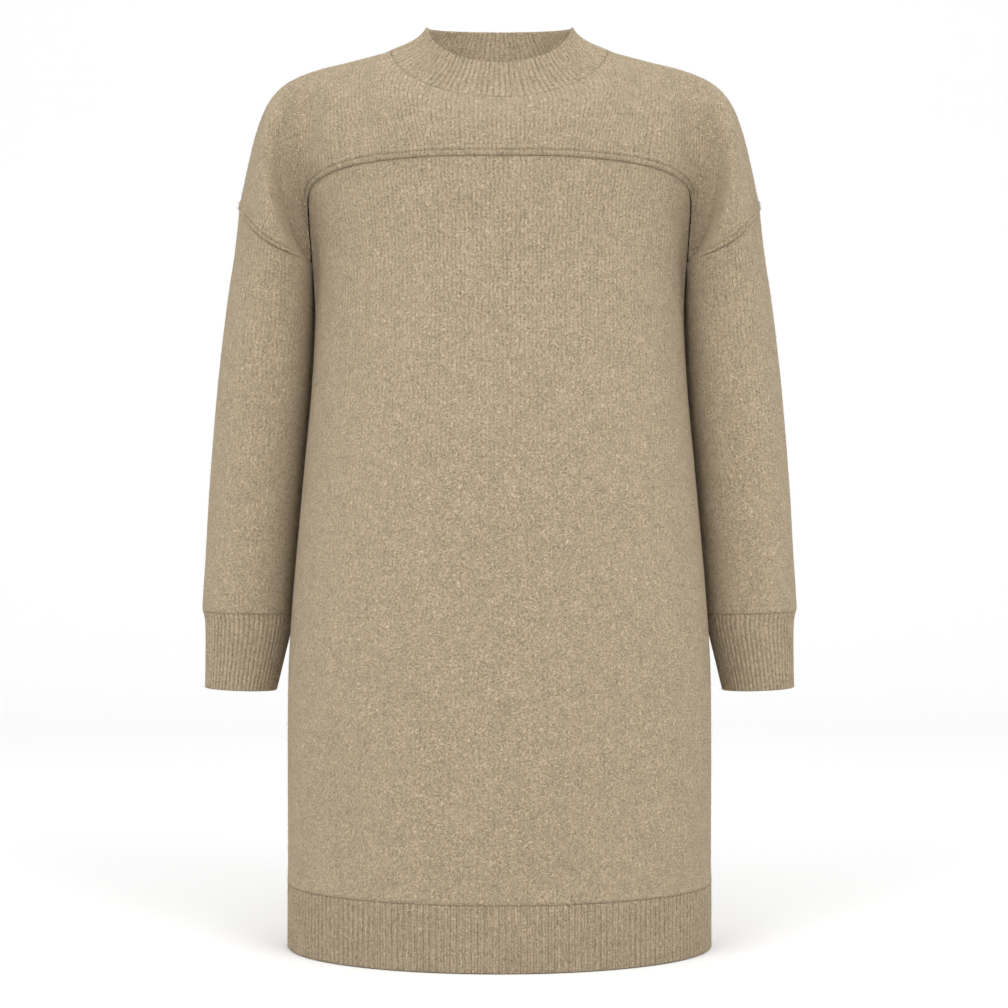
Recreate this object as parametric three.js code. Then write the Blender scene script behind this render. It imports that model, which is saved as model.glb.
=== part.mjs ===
// A sweater dress, filled out as if worn: ribbed stand collar, front and back yokes that drop over the
// upper arms, front and back panels, long sleeves, ribbed cuffs and a ribbed hem.
// Millimetres: X across the wearer, Y towards the back, Z up. The origin is on the centre line, level with
// the shoulder points of the neck. Every surface below is the outer face of the cloth; the wall goes inwards.
import * as THREE from 'three';
import { mergeVertices } from 'three/addons/utils/BufferGeometryUtils.js';

const clothThickness = 2.2;
const ribThickness = 2.6;
const seamGap = 0.3;
const curvedSeamGap = 0.5;
const hemTop = -822.5;
const hemBottom = -887.6;
const hemRibs = 200;
const cuffRibs = 56;
const collarRibs = 104;
const ribRelief = 0.5;
const seamRidge = 1.5;
const bodyColour = '#b4a288';
const sleeveColour = '#ab9a80';
const ribColour = '#a59479';

// Horizontal sections of the body. The side seam runs where the section is widest, at sideAt along Y.
const bodySections = table(['height', 'halfWidth', 'front', 'back', 'sideAt'], [
  [-887.6, 211.0, 163, 150, 0],
  [-822.5, 211.0, 161, 148, 0],
  [-623.0, 211.0, 152, 141, 2],
  [-540.0, 206.5, 148, 137, 4],
  [-414.0, 195.5, 141, 130, 6],
  [-325.0, 187.8, 135, 124, 10],
  [-250.0, 184.6, 129, 119, 14],
  [-206.0, 185.2, 126, 116, 16],
  [-165.0, 189.5, 123, 113, 14],
  [-113.0, 199.5, 118, 108, 10],
]);

// The seam under the yoke, from the centre line (step 0) to the armhole (step 7) and on to the underarm
// (step 8): the angle round the body, the seam's height there, and where the yoke column above it ends.
// A head of 0 to 1 is on the neck seam, from the front or back to the side, and 1 to 2 on the shoulder line.
const yokeSteps = table(['step', 'angle', 'height', 'head'], [
  [0, 0, -113.0, 0],
  [1, 18, -112.8, 0.4],
  [2, 37, -115.6, 1],
  [3, 51, -120.2, 1.13],
  [4, 64, -127.5, 1.23],
  [5, 75, -138.5, 1.31],
  [6, 80, -164.0, 1.38],
  [7, 82, -204.5, 1.45],
  [8, 90, -206.0, 1.5],
]);
const armholeStep = 7;
const underarmStep = 8;

// The shoulder line from the neck to the armhole.
const shoulderLine = table(['along', 'across', 'height', 'back'], [
  [0, 108.0, 6, 0],
  [44, 150.0, -5, 3],
  [80, 185.5, -14, 6],
  [105, 208.5, -23.5, 8],
  [124, 223.5, -35, 10],
  [142, 234.0, -50, 12],
  [167, 243.2, -73, 13],
  [198, 251.2, -103, 14.5],
  [247, 261.0, -151, 16],
]);
const shoulderLength = 247;

// Rings of one sleeve and its cuff: the outer and the inner point of each ring, its middle along Y, half its
// depth, and how far the ring's front and back hang below the straight line between those two points.
const ringNames = ['along', 'outer', 'outerHeight', 'inner', 'innerHeight', 'middle', 'depth', 'dip'];
const sleeveRings = table(ringNames, [
  [0, 261.0, -151, 186.2, -206, 16, 68, 14],
  [42, 266.5, -193, 190.2, -236, 19, 66, 9],
  [90, 274.5, -243, 189.2, -275, 23, 63, 5],
  [158, 283.0, -313, 191.2, -335, 27, 59, 2],
  [218, 288.6, -373, 195.4, -387, 29, 56, 1],
  [278, 293.2, -433, 199.6, -442, 30, 53, 0],
  [345, 297.0, -500, 204.6, -504, 30, 50, 0],
  [388, 299.6, -543, 208.0, -545, 29, 48, 0],
  [399, 299.2, -554, 208.6, -556, 29, 46.5, 0],
  [410, 297.0, -565, 209.4, -567, 28.5, 45, 0],
  [444, 296.6, -599, 217.4, -601, 28, 41, 0],
  [478, 297.0, -632, 225.6, -635, 27, 37.5, 0],
]);
const dipOutwards = 0.35;
const cuffTop = 399;
const cuffBottom = 478;
const armholeJoin = THREE.MathUtils.degToRad(165);

// The crease in front of the arm: the steps over which the seam turns down into it, the direction in which
// the yoke leaves it on the front side, and how far the yoke and the panel keep apart there.
const creaseStart = 4;
const creaseTurn = [4.2, 6];
const creaseWay = { across: 0.62, ahead: 0.45, up: 0.64 };
const creaseGap = 1;
const creaseGapStart = [4.5, 5.5];
// The same direction fades out over this part of the armhole's way round the arm.
const creaseFade = 0.35;
const creaseGapEnd = 0.1;
// From this part of the armhole on, the front and the back yoke draw apart for the shoulder seam.
const armTip = 0.85;

// The neck seam and the collar's rim: rings that are level at the sides and drop towards the front. In plan
// their front is squarer than an ellipse, whose power would be 1.
const neckPower = { front: 0.5, back: 1 };
const neckSeam = { across: 108, front: 84, back: 70, sideHeight: 6, frontDrop: 59, backDrop: 6 };
const collarRim = { across: 72.5, front: 66, back: 50, sideHeight: 29, frontDrop: 45, backDrop: -6.4 };

function table(names, rows) {
  return rows.map((row) => Object.fromEntries(names.map((name, index) => [name, row[index]])));
}

// Reads a table between its rows along a smooth curve, by the value of its first column.
function read(rows, at) {
  const key = Object.keys(rows[0])[0];
  const last = rows.length - 2;
  let index = rows.findIndex((row, place) => place > 0 && at <= row[key]) - 1;
  index = index < 0 ? last : Math.min(index, last);
  const [low, high] = [rows[index], rows[index + 1]];
  const [before, after] = [rows[Math.max(index - 1, 0)], rows[Math.min(index + 2, rows.length - 1)]];
  const span = high[key] - low[key];
  const t = (at - low[key]) / span;
  const result = {};
  for (const name of Object.keys(low)) {
    const slopeLow = (high[name] - before[name]) / (high[key] - before[key]);
    const slopeHigh = (after[name] - low[name]) / (after[key] - low[key]);
    result[name] = hermite(low[name], slopeLow * span, high[name], slopeHigh * span, t);
  }
  return result;
}

function hermite(start, startSlope, end, endSlope, t) {
  const t2 = t * t;
  const t3 = t2 * t;
  return start * (2 * t3 - 3 * t2 + 1) + startSlope * (t3 - 2 * t2 + t)
    + end * (3 * t2 - 2 * t3) + endSlope * (t3 - t2);
}

function curve(start, startWay, end, endWay, t) {
  return new THREE.Vector3(
    hermite(start.x, startWay.x, end.x, endWay.x, t),
    hermite(start.y, startWay.y, end.y, endWay.y, t),
    hermite(start.z, startWay.z, end.z, endWay.z, t),
  );
}

const { degToRad, smoothstep } = THREE.MathUtils;

// Soft folds of the panels: where each stands round the body (the wearer's left is positive), how far it
// moves on its way down, its half width in degrees, its upper and lower end, and its height.
const folds = {
  '-1': table(['angle', 'drift', 'spread', 'high', 'low', 'rise'], [
    [15, -4, 9, -560, -822, 4.2],
    [35, 5, 10, -600, -822, -4],
    [-30, 6, 12, -610, -822, 3.4],
    [-55, 8, 11, -640, -822, -3.6],
    [58, -3, 9, -660, -822, 3],
    [-36, -8, 14, -120, -330, 2.4],
    [44, 8, 15, -120, -350, 2.6],
  ]),
  1: table(['angle', 'drift', 'spread', 'high', 'low', 'rise'], [
    [-12, 5, 10, -520, -822, 4.4],
    [10, 6, 10, -600, -822, -3.8],
    [38, -5, 12, -580, -822, 3.8],
    [-42, -4, 11, -640, -822, -3.6],
    [-60, 4, 9, -610, -822, 3],
    [33, 8, 14, -120, -340, 2.6],
    [-38, -7, 13, -120, -320, 2.4],
  ]),
};
const foldTop = 30;
const foldSide = [76, 90];

// How far the folds move the cloth outwards. They die away at the side seams, the yoke and the hem band.
function foldHeight(angle, height, top, face) {
  const ends = smoothstep(top - height, 0, foldTop) * (1 - smoothstep(Math.abs(angle), ...foldSide));
  return folds[face].reduce((sum, fold) => {
    const down = (fold.high - height) / (fold.high - fold.low);
    if (down <= 0 || down >= 1) return sum;
    const across = (angle - fold.angle - fold.drift * down) / fold.spread;
    return sum + fold.rise * Math.exp(-across * across) * Math.sin(Math.PI * down ** 1.3) ** 1.5;
  }, 0) * ends;
}

// A point on the body: the angle is 0 at the centre and 90 degrees at the side; face is -1 front, 1 back.
function bodyPoint(angle, height, face) {
  const section = read(bodySections, height);
  const depth = face < 0 ? section.front : section.back;
  const turn = degToRad(angle);
  const y = section.sideAt + face * depth * Math.cos(turn);
  return new THREE.Vector3(section.halfWidth * Math.sin(turn), y, height);
}

// A point on a sleeve or cuff: turn 0 is the outer side, a half turn the side next to the body.
function sleevePoint(along, turn) {
  const ring = read(sleeveRings, along);
  const [across, round] = [Math.cos(turn), Math.sin(turn)];
  const hang = ring.dip * round * round * (1 + dipOutwards * across);
  return new THREE.Vector3(
    (ring.outer + ring.inner) / 2 + across * (ring.outer - ring.inner) / 2,
    ring.middle - ring.depth * round,
    (ring.outerHeight + ring.innerHeight) / 2 + across * (ring.outerHeight - ring.innerHeight) / 2 - hang,
  );
}

function neckPoint(ring, turn) {
  const facing = Math.cos(turn);
  const depth = facing > 0 ? ring.front : ring.back;
  const drop = facing > 0 ? ring.frontDrop : ring.backDrop;
  const ahead = Math.sign(facing) * Math.abs(facing) ** (facing > 0 ? neckPower.front : neckPower.back);
  const height = ring.sideHeight - drop * Math.abs(facing);
  return new THREE.Vector3(ring.across * Math.sin(turn), -depth * ahead, height);
}

function shoulderPoint(part) {
  const place = read(shoulderLine, part * shoulderLength);
  return new THREE.Vector3(place.across, place.back, place.height);
}

// The lower edge of the yoke. Steps up to armholeStep run along the seam to the panel. Past it, the yoke's
// own edge runs up the armhole, while the panel's edge takes the short rest of the armhole to the underarm.
const armholeCorner = (face) => facing(sleevePoint(0, armholeJoin), face);

function facing(point, face) {
  const middle = sleeveRings[0].middle;
  return face < 0 ? point : new THREE.Vector3(point.x, 2 * middle - point.y, point.z);
}

function seamPoint(step, face) {
  const place = read(yokeSteps, Math.min(step, armholeStep));
  const onBody = bodyPoint(place.angle, place.height, face);
  const cornerPlace = yokeSteps[armholeStep];
  const reach = armholeCorner(face).sub(bodyPoint(cornerPlace.angle, cornerPlace.height, face));
  return onBody.addScaledVector(reach, smoothstep(step, creaseStart, armholeStep));
}

function panelTop(step, face) {
  if (step <= armholeStep) return seamPoint(step, face);
  const part = (step - armholeStep) / (underarmStep - armholeStep);
  const top = facing(sleevePoint(0, armholeJoin + part * (Math.PI - armholeJoin)), face);
  return top.add(new THREE.Vector3(-curvedSeamGap, 0, -seamGap));
}

// How steeply the yoke's columns reach the neck seam in the middle and at its side, the slope of the shoulder
// there, and how far they turn in towards the neck at its side.
const headPitch = { front: { middle: 0.85, side: 0.15 }, back: { middle: 0.7, side: 0 } };
const neckShoulderSlope = 0.26;
const neckTurn = degToRad(50);
const neckReach = 1.35;

// The yoke carries on the slope of the body over chestStep above its seam, and of the sleeve over sleeveStep
// below it. yokeFullness says how far a column bulges for its length.
const chestStep = 8;
const sleeveStep = 20;
const yokeFullness = 1.17;

// One column of a yoke, from its lower edge to the neck seam or the shoulder line. Steps 0 to 7 stand on
// the seam to the panel and 7 to 8 on the armhole, up to its top, where the column has no length.
function yokeColumn(step, face) {
  const crease = new THREE.Vector3(creaseWay.across, creaseWay.ahead * face, creaseWay.up);
  const onChest = step <= armholeStep;
  const place = read(yokeSteps, Math.min(step, armholeStep));
  const armPart = onChest ? 0 : (step - armholeStep) / (underarmStep - armholeStep);
  const headPart = place.head + armPart * (2 - place.head);
  let foot;
  let footWay;
  if (onChest) {
    foot = seamPoint(step, face);
    footWay = bodyPoint(place.angle, place.height + chestStep, face)
      .sub(bodyPoint(place.angle, place.height, face));
    footWay.normalize().lerp(crease, smoothstep(step, ...creaseTurn));
    foot.x += creaseGap * smoothstep(step, ...creaseGapStart);
  } else {
    const turn = armholeJoin * (1 - armPart);
    foot = facing(sleevePoint(0, turn), face);
    foot.x += creaseGap * (1 - smoothstep(armPart, 0, creaseGapEnd));
    foot.y += face * seamGap / 2 * smoothstep(armPart, armTip, 1);
    footWay = foot.clone().sub(facing(sleevePoint(sleeveStep, turn), face));
    footWay.normalize().lerp(crease, 1 - smoothstep(armPart, 0, creaseFade));
  }
  const side = face < 0 ? 'front' : 'back';
  const pitch = headPitch[side];
  let head;
  let aside;
  let rise;
  if (headPart <= 1) {
    const turn = headPart * Math.PI / 2;
    head = neckPoint(neckSeam, face < 0 ? turn : Math.PI - turn);
    aside = neckTurn * smoothstep(headPart, 0, 1);
    rise = pitch.side * Math.cos(aside) + (pitch.middle - pitch.side) * Math.cos(turn) ** neckPower[side];
  } else {
    const nearNeck = 1 - smoothstep(headPart, 1, neckReach);
    head = shoulderPoint(headPart - 1);
    head.y += face * (seamGap / 2 + clothThickness * pitch.side * nearNeck);
    aside = neckTurn * nearNeck;
    rise = pitch.side * nearNeck;
  }
  rise += neckShoulderSlope * Math.sin(aside);
  const headWay = new THREE.Vector3(-Math.sin(aside), -face * Math.cos(aside), rise).normalize();
  const length = foot.distanceTo(head);
  return { foot, footWay, head, headWay, length };
}

function yokePoint(step, part, face) {
  const { foot, footWay, head, headWay, length } = yokeColumn(Math.abs(step), face);
  const reach = yokeFullness * length;
  const point = curve(foot, footWay.multiplyScalar(reach), head, headWay.multiplyScalar(reach), part);
  point.x *= Math.sign(step) || 1;
  return point;
}

// How far below its upper edge a panel starts to leave the body's sections for the armhole's corner.
const cornerReach = 70;
const sideSeamStep = 7.7;

// A point on a panel: step says the column as on the yoke, part goes from the hem band (0) to the yoke (1).
function panelPoint(step, part, face) {
  const size = Math.abs(step);
  const top = panelTop(size, face);
  const height = hemTop + part * (top.z - hemTop);
  const { angle } = read(yokeSteps, size);
  const point = bodyPoint(angle, height, face);
  const reach = top.clone().sub(bodyPoint(angle, top.z, face));
  point.addScaledVector(reach, smoothstep(height, top.z - cornerReach, top.z));
  const turn = degToRad(angle);
  const fold = foldHeight(angle * (Math.sign(step) || 1), height, top.z, face);
  point.add(new THREE.Vector3(Math.sin(turn), face * Math.cos(turn), 0).multiplyScalar(fold));
  point.y += face * seamGap / 2 * smoothstep(size, sideSeamStep, underarmStep);
  point.x *= Math.sign(step) || 1;
  return point;
}

// How the collar leaves the neck seam, in front and at the side, and how it stands at its rim.
const collarBase = { lean: 0.74, rise: 0.66, sideLean: 0.2, sideRise: -0.28 };
const collarTop = { lean: 0.45, rise: 0.9 };
const collarGapLength = 30;

function collarPoint(turn, part) {
  const base = neckPoint(neckSeam, turn);
  const rim = neckPoint(collarRim, turn);
  const side = Math.abs(Math.sin(turn));
  const inwards = new THREE.Vector3(-base.x, -base.y, 0).normalize();
  const lean = collarBase.lean + collarBase.sideLean * side;
  const rise = collarBase.rise + collarBase.sideRise * side;
  const baseWay = inwards.clone().multiplyScalar(lean).setZ(rise);
  const rimWay = inwards.clone().multiplyScalar(collarTop.lean).setZ(collarTop.rise);
  const reach = base.distanceTo(rim);
  return curve(base, baseWay.multiplyScalar(reach), rim, rimWay.multiplyScalar(reach), part);
}

function hemPoint(turn, part) {
  const height = hemBottom + part * (hemTop - seamGap - hemBottom);
  const face = Math.cos(turn) > 0 ? -1 : 1;
  const section = read(bodySections, height);
  const depth = face < 0 ? section.front : section.back;
  const y = section.sideAt - depth * Math.cos(turn);
  return new THREE.Vector3(section.halfWidth * Math.sin(turn), y, height);
}

// The outward direction of a surface, from two short steps along it. Where a column has shrunk to a point,
// the direction is taken a little further in.
const normalStep = 0.002;

function outward(surface, u, v, limits) {
  const at = (value, [low, high]) => Math.min(Math.max(value, low), high);
  const spanU = (limits.u[1] - limits.u[0]) * normalStep;
  const spanV = (limits.v[1] - limits.v[0]) * normalStep;
  const u1 = limits.closed ? u + spanU : at(u + spanU, limits.u);
  const u0 = limits.closed ? u - spanU : at(u - spanU, limits.u);
  const alongU = surface(u1, v).sub(surface(u0, v));
  const alongV = surface(u, at(v + spanV, limits.v)).sub(surface(u, at(v - spanV, limits.v)));
  const normal = alongU.cross(alongV);
  if (normal.length() > spanU * spanV) return normal.normalize();
  const middle = (limits.u[0] + limits.u[1]) / 2;
  return outward(surface, u + (middle - u) * 0.02, limits.v[1], limits);
}

// Cloth with a plain inside. The outer face has every column and row given; the inner face keeps each
// coarse-th column and the rows in innerRows. The relief, in millimetres, raises the outer face.
function cloth({ surface, reach = [0, 1], columns, rows, innerRows = rows, ...finish }) {
  const { coarse = 1, closed = false, thickness, relief, flip = false } = finish;
  const pastLast = closed ? columns[1] - columns[0] : 0;
  const limits = {
    u: [Math.min(...columns), Math.max(...columns) + pastLast],
    v: reach,
    closed,
  };
  const side = flip ? -1 : 1;
  const place = (u, v, lift) => surface(u, v).addScaledVector(outward(surface, u, v, limits), lift * side);
  const ordered = flip ? [...columns].reverse() : columns;
  const rowCount = rows(columns[0]).length;
  const outer = [];
  for (let row = 0; row < rowCount; row += 1) {
    outer.push(ordered.map((u, index) => place(u, rows(u)[row], relief ? relief(u, row, index) : 0)));
  }
  const kept = ordered.filter((u, index) => index % coarse === 0);
  const innerCount = innerRows(columns[0]).length;
  const inner = [];
  for (let row = 0; row < innerCount; row += 1) {
    inner.push(kept.map((u) => place(u, innerRows(u)[row], -thickness)));
  }
  return wallGeometry(outer, inner, closed);
}

function wallGeometry(outer, inner, closed) {
  const points = [];
  const faces = [];
  const number = (grid) => grid.map((row) => row.map((point) => points.push(point) - 1));
  const ring = (grid) => (closed ? grid.map((row) => [...row, row[0]]) : grid);
  const outside = ring(number(outer));
  const inside = ring(number(inner));
  const sheet = (grid, add) => {
    for (let row = 0; row + 1 < grid.length; row += 1) {
      for (let column = 0; column + 1 < grid[row].length; column += 1) {
        add(grid[row][column], grid[row][column + 1], grid[row + 1][column + 1]);
        add(grid[row][column], grid[row + 1][column + 1], grid[row + 1][column]);
      }
    }
  };
  sheet(outside, (a, b, c) => faces.push([a, b, c]));
  sheet(inside, (a, b, c) => faces.push([a, c, b]));
  const edge = (grid, column) => grid.map((row) => row.at(column));
  bridge(outside[0], inside[0], faces);
  bridge(inside.at(-1), outside.at(-1), faces);
  if (!closed) {
    bridge(edge(inside, 0), edge(outside, 0), faces);
    bridge(edge(outside, -1), edge(inside, -1), faces);
  }
  return geometryOf(points, faces);
}

// Closes the strip between two edges that may have different numbers of points.
function bridge(first, second, faces) {
  let i = 0;
  let j = 0;
  while (i + 1 < first.length || j + 1 < second.length) {
    const firstNext = (i + 1) / (first.length - 1);
    const secondNext = (j + 1) / (second.length - 1);
    if (j + 1 >= second.length || (i + 1 < first.length && firstNext <= secondNext)) {
      faces.push([first[i + 1], first[i], second[j]]);
      i += 1;
    } else {
      faces.push([first[i], second[j], second[j + 1]]);
      j += 1;
    }
  }
}

function geometryOf(points, faces) {
  const loose = new THREE.BufferGeometry();
  loose.setAttribute('position', new THREE.Float32BufferAttribute(points.flatMap((p) => [p.x, p.y, p.z]), 3));
  loose.setIndex(faces.flat());
  const merged = mergeVertices(loose, 1e-3);
  const index = merged.getIndex();
  const kept = [];
  for (let place = 0; place < index.count; place += 3) {
    const [a, b, c] = [index.getX(place), index.getX(place + 1), index.getX(place + 2)];
    if (a !== b && b !== c && c !== a) kept.push(a, b, c);
  }
  merged.setIndex(kept);
  merged.computeVertexNormals();
  return merged;
}

// Columns that split each step of a table into the given number of equal parts, mirrored to both sides.
function mirroredColumns(splits) {
  const half = [0];
  splits.forEach((count, step) => {
    for (let part = 1; part <= count; part += 1) half.push(step + part / count);
  });
  return [...half.slice(1).reverse().map((value) => -value), ...half];
}

function evenly(count, from, to) {
  return Array.from({ length: count + 1 }, (_, index) => from + (to - from) * index / count);
}

function piece(name, geometry, colour) {
  const material = new THREE.MeshStandardMaterial({ color: colour, roughness: 0.95, metalness: 0 });
  const mesh = new THREE.Mesh(geometry, material);
  mesh.name = name;
  return mesh;
}

// The double ridge along the yoke's lower edge, as distances up from the edge and heights of the cloth.
const ridgeRows = table(['above', 'lift'], [
  [0, 0.5],
  [2.6, 1],
  [5.2, 0.2],
  [7.8, 0.9],
  [10.4, 0],
]);
const yokeBands = [0.14, 0.3, 0.46, 0.64, 0.82, 1];
// The ridge dies away at the armhole's corner, over ridgeSpread, and on columns between two short lengths.
// On a column shorter than narrowRidge it gets narrower. The gap at the corner fades over gapSpread.
const ridgeSpread = 0.3;
const gapSpread = 0.35;
const cornerGap = 1.6;
const ridgeLengths = [12, 40];
const narrowRidge = 55;
const largestStart = 0.3;
const innerYokeRows = [5, 7, 9];
const neckEndStep = 2;

function inCorner(size, spread) {
  return Math.exp(-(((size - armholeStep) / spread) ** 2));
}

function yoke(name, face) {
  const footGap = (step) => {
    const size = Math.abs(step);
    return cornerGap * inCorner(size, gapSpread) + (size > armholeStep ? curvedSeamGap : seamGap / 2);
  };
  const headGap = (step) => (Math.abs(step) <= neckEndStep ? curvedSeamGap : 0);
  const lengthAt = (step) => Math.max(yokeColumn(Math.abs(step), face).length, 1);
  const ridgeFade = (step) => {
    const inCrease = inCorner(Math.abs(step), ridgeSpread);
    return (1 - inCrease) * smoothstep(lengthAt(step), ...ridgeLengths);
  };
  const rows = (step) => {
    const length = lengthAt(step);
    const start = Math.min(footGap(step) / length, largestStart);
    const end = 1 - headGap(step) / length;
    const ridge = ridgeRows.map((row) => start + row.above / Math.max(length, narrowRidge));
    const from = ridge.at(-1);
    return [...ridge, ...yokeBands.map((band) => from + (end - from) * band)];
  };
  const innerRows = (step) => {
    const all = rows(step);
    return [all[0], ...innerYokeRows.map((row) => all[row]), all.at(-1)];
  };
  const geometry = cloth({
    surface: (step, part) => yokePoint(step, part, face),
    columns: mirroredColumns([5, 11, 2, 2, 2, 2, 2, 11]),
    rows,
    innerRows,
    thickness: clothThickness,
    relief: (step, row) => (row < ridgeRows.length ? seamRidge * ridgeRows[row].lift * ridgeFade(step) : 0),
    flip: face > 0,
  });
  return piece(name, geometry, bodyColour);
}

const panelLength = 650;
const panelRows = [0.07, 0.14, 0.22, 0.31, 0.42, 0.56, 0.7, 0.82, 0.91, 0.97];

function panel(name, face) {
  const gap = seamGap / panelLength;
  const geometry = cloth({
    surface: (step, part) => panelPoint(step, part, face),
    columns: mirroredColumns([4, 4, 2, 2, 2, 2, 2, 2]),
    rows: () => [gap, ...panelRows, 1 - gap],
    thickness: clothThickness,
    flip: face > 0,
  });
  return piece(name, geometry, bodyColour);
}

function tube({ name, surface, reach, sides, rows, coarse, thickness, relief, colour, flip }) {
  const geometry = cloth({
    surface,
    reach,
    columns: evenly(sides, 0, 2 * Math.PI).slice(0, -1),
    rows: () => rows,
    coarse,
    closed: true,
    thickness,
    relief,
    flip,
  });
  return piece(name, geometry, colour);
}

const ribs = (u, row, index) => (index % 2 === 0 ? -ribRelief : ribRelief);

const sleeveRows = [20, 42, 72, 115, 180, 260, 345, 388];
const cuffStep = 411;

function arm(hand, side) {
  const surface = (turn, along) => {
    const point = sleevePoint(along, turn);
    point.x *= hand;
    return point;
  };
  const flip = hand < 0;
  const sleeve = tube({
    name: `sleeve_${side}`,
    surface,
    reach: [0, cuffBottom],
    sides: 36,
    rows: [curvedSeamGap, ...sleeveRows, cuffTop - seamGap / 2],
    thickness: clothThickness,
    colour: sleeveColour,
    flip,
  });
  const cuff = tube({
    name: `cuff_${side}`,
    surface,
    reach: [0, cuffBottom],
    sides: 2 * cuffRibs,
    rows: [cuffTop + seamGap / 2, cuffStep, cuffBottom],
    coarse: 4,
    thickness: ribThickness,
    relief: ribs,
    colour: ribColour,
    flip,
  });
  return [sleeve, cuff];
}

const dress = new THREE.Group();
dress.add(yoke('front_yoke', -1), yoke('back_yoke', 1));
dress.add(panel('front_panel', -1), panel('back_panel', 1));
dress.add(...arm(1, 'left'), ...arm(-1, 'right'));
dress.add(tube({
  name: 'hem_rib',
  surface: hemPoint,
  sides: 2 * hemRibs,
  rows: [0, 1],
  coarse: 4,
  thickness: ribThickness,
  relief: ribs,
  colour: ribColour,
}));
dress.add(tube({
  name: 'collar',
  surface: collarPoint,
  sides: 2 * collarRibs,
  rows: [seamGap / collarGapLength, 0.34, 0.67, 1],
  coarse: 4,
  thickness: ribThickness,
  relief: ribs,
  colour: ribColour,
}));

export default dress;
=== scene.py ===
# %% [markdown]
# A brushed sweater dress, filled out as if someone wore it
#
# The dress is ten pieces of knitting sewn together: a ribbed collar, two yokes that drop over the upper
# arms, two panels, two sleeves, two cuffs and a hem band. The frame already holds them as plain walls.
# Each one is made again here as a fine surface with its ribs, seam ridges, drape and nap.

import bmesh
import bpy
import numpy as np
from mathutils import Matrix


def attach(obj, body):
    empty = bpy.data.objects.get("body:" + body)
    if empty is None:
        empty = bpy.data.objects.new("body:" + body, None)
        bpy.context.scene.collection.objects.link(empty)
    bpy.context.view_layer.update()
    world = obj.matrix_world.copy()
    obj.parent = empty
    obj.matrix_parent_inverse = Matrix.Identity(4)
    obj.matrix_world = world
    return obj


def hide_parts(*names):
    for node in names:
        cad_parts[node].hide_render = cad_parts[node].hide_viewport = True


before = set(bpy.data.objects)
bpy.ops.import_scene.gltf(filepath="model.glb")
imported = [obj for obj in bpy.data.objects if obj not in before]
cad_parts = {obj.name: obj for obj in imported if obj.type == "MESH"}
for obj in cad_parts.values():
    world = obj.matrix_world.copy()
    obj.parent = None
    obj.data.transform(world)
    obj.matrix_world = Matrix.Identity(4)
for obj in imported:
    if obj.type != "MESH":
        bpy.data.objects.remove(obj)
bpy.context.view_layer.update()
scene = bpy.context.scene
print("nodes:", sorted(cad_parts))

# %% [markdown]
# The camera
#
# The picture was taken straight on, level with the middle of the dress, through a long lens. A level camera
# shows the hem's front edge as a shallow arc, and how deep that arc is tells how far away the camera stood.

# %% Place the camera
CAMERA_PLACE = (0.0045, -2.6, -0.447)
CAMERA_LENS = 92.86
camera_data = bpy.data.cameras.new("camera")
camera_data.lens = CAMERA_LENS
camera_data.sensor_width = 36
camera = bpy.data.objects.new("camera", camera_data)
camera.location = CAMERA_PLACE
camera.rotation_euler = (np.pi / 2, 0, 0)
scene.collection.objects.link(camera)
scene.camera = camera
print("camera:", CAMERA_PLACE, "lens", CAMERA_LENS)

# %% [markdown]
# Sizes as short tables
#
# A garment is easiest to give as a few measured sections. Each table below has one row for a section and a
# name for each column, in millimetres. A smooth curve reads the values between the rows, so a handful of
# rows describes a surface of any fineness.

# %% Tables of the body, the seams and the sleeves
MM = 0.001
HEM_TOP, HEM_BOTTOM = -822.5, -887.6
BODY = np.rec.fromrecords([
    (-887.6, 211.0, 163, 150, 0),
    (-822.5, 211.0, 161, 148, 0),
    (-623.0, 211.0, 152, 141, 2),
    (-540.0, 206.5, 148, 137, 4),
    (-414.0, 195.5, 141, 130, 6),
    (-325.0, 187.8, 135, 124, 10),
    (-250.0, 184.6, 129, 119, 14),
    (-206.0, 185.2, 126, 116, 16),
    (-165.0, 189.5, 123, 113, 14),
    (-113.0, 199.5, 118, 108, 10),
], names="height,half_width,front,back,side_at")
YOKE_STEPS = np.rec.fromrecords([
    (0, 0, -113.0, 0),
    (1, 18, -112.8, 0.4),
    (2, 37, -115.6, 1),
    (3, 51, -120.2, 1.13),
    (4, 64, -127.5, 1.23),
    (5, 75, -138.5, 1.31),
    (6, 80, -164.0, 1.38),
    (7, 82, -204.5, 1.45),
    (8, 90, -206.0, 1.5),
], names="step,angle,height,head")
SHOULDER = np.rec.fromrecords([
    (0, 108.0, 6, 0),
    (44, 150.0, -5, 3),
    (80, 185.5, -14, 6),
    (105, 208.5, -23.5, 8),
    (124, 223.5, -35, 10),
    (142, 234.0, -50, 12),
    (167, 243.2, -73, 13),
    (198, 251.2, -103, 14.5),
    (247, 261.0, -151, 16),
], names="along,across,height,back")
SLEEVE = np.rec.fromrecords([
    (0, 261.0, -151, 186.2, -206, 16, 68, 14),
    (42, 266.5, -193, 185.7, -236, 24, 66, 9),
    (90, 274.5, -243, 186.0, -275, 28, 63, 5),
    (158, 283.0, -313, 189.4, -335, 29, 59, 2),
    (218, 288.6, -373, 194.0, -387, 30, 56, 1),
    (278, 293.2, -433, 199.2, -442, 30, 53, 0),
    (345, 297.0, -500, 204.6, -504, 30, 50, 0),
    (388, 299.6, -543, 208.0, -545, 29, 48, 0),
    (399, 299.2, -554, 208.6, -556, 29, 46.5, 0),
    (410, 297.0, -565, 209.4, -567, 28.5, 45, 0),
    (444, 296.6, -599, 217.4, -601, 28, 41, 0),
    (478, 297.0, -632, 225.6, -635, 27, 37.5, 0),
], names="along,outer,outer_height,inner,inner_height,middle,depth,dip")
CUFF_TOP, CUFF_BOTTOM = 399, 478
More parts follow.
